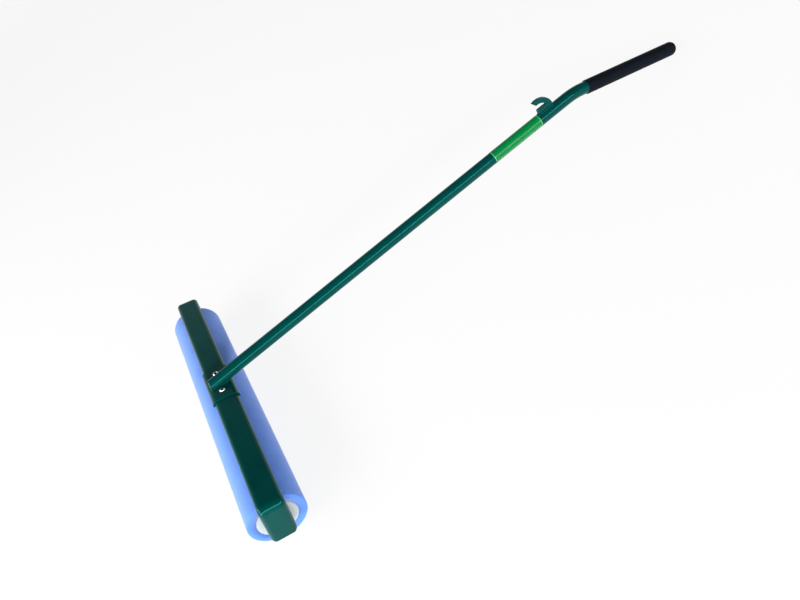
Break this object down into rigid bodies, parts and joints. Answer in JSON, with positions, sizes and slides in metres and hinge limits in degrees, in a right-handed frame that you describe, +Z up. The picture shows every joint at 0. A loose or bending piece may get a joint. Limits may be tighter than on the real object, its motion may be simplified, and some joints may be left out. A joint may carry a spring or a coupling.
{
  "type": "tennis court squeegee",
  "caption": "Water squeegee for hard courts: a foam roller turning in a steel channel frame, on a long bent tube handle with a grip and a hanging hook.",
  "frame": {"origin": "on the floor, under the middle of the roller, as the squeegee lies on its roller and the tip of its grip", "axes": "+X along the roller towards the near ear (the one with no nut), +Y along the handle towards the grip, +Z up"},
  "size_m": [0.678, 1.2582, 0.142],
  "materials": {
    "blue_foam": "matt open-cell foam",
    "white_pvc": "smooth extruded",
    "white_nylon": "moulded",
    "acetal": "turned",
    "zinc_steel": "bright zinc plated",
    "green_powder_coat": "glossy dark teal powder coat",
    "bright_steel": "polished",
    "green_label": "printed vinyl, bare",
    "black_foam": "matt closed-cell foam",
    "black_plastic": "moulded"
  },
  "bodies": {
    "frame": {"near_thrust_washer": "acetal", "far_thrust_washer": "acetal", "axle_rod": "zinc_steel", "near_axle_boss": "green_powder_coat", "far_inner_washer": "zinc_steel", "far_inner_nut": "zinc_steel", "far_spacer_sleeve": "zinc_steel", "far_outer_washer": "zinc_steel", "far_lock_nut": "zinc_steel", "frame_bar": "green_powder_coat", "saddle_bracket": "green_powder_coat", "saddle_bolts": "bright_steel", "saddle_bolt_washers": "bright_steel", "saddle_nut_washers": "bright_steel", "saddle_lock_nuts": "bright_steel", "handle_tube": "green_powder_coat", "handle_foot_weld": "green_powder_coat", "hanging_hook": "green_powder_coat", "hook_weld": "green_powder_coat", "label_band": "green_label", "grip_sleeve": "black_foam", "handle_end_plug": "black_plastic"},
    "roller": {"roller_foam_sleeve": "blue_foam", "roller_core_pipe": "white_pvc", "near_end_plug": "white_nylon", "far_end_plug": "white_nylon", "near_bush": "acetal", "far_bush": "acetal"}
  },
  "joints": [
    {"name": "roller_spin", "type": "hinge", "parent": "frame", "child": "roller", "pos_m": [0, 0, 0.05355], "axis": [1, 0, 0], "continuous": true}
  ]
}
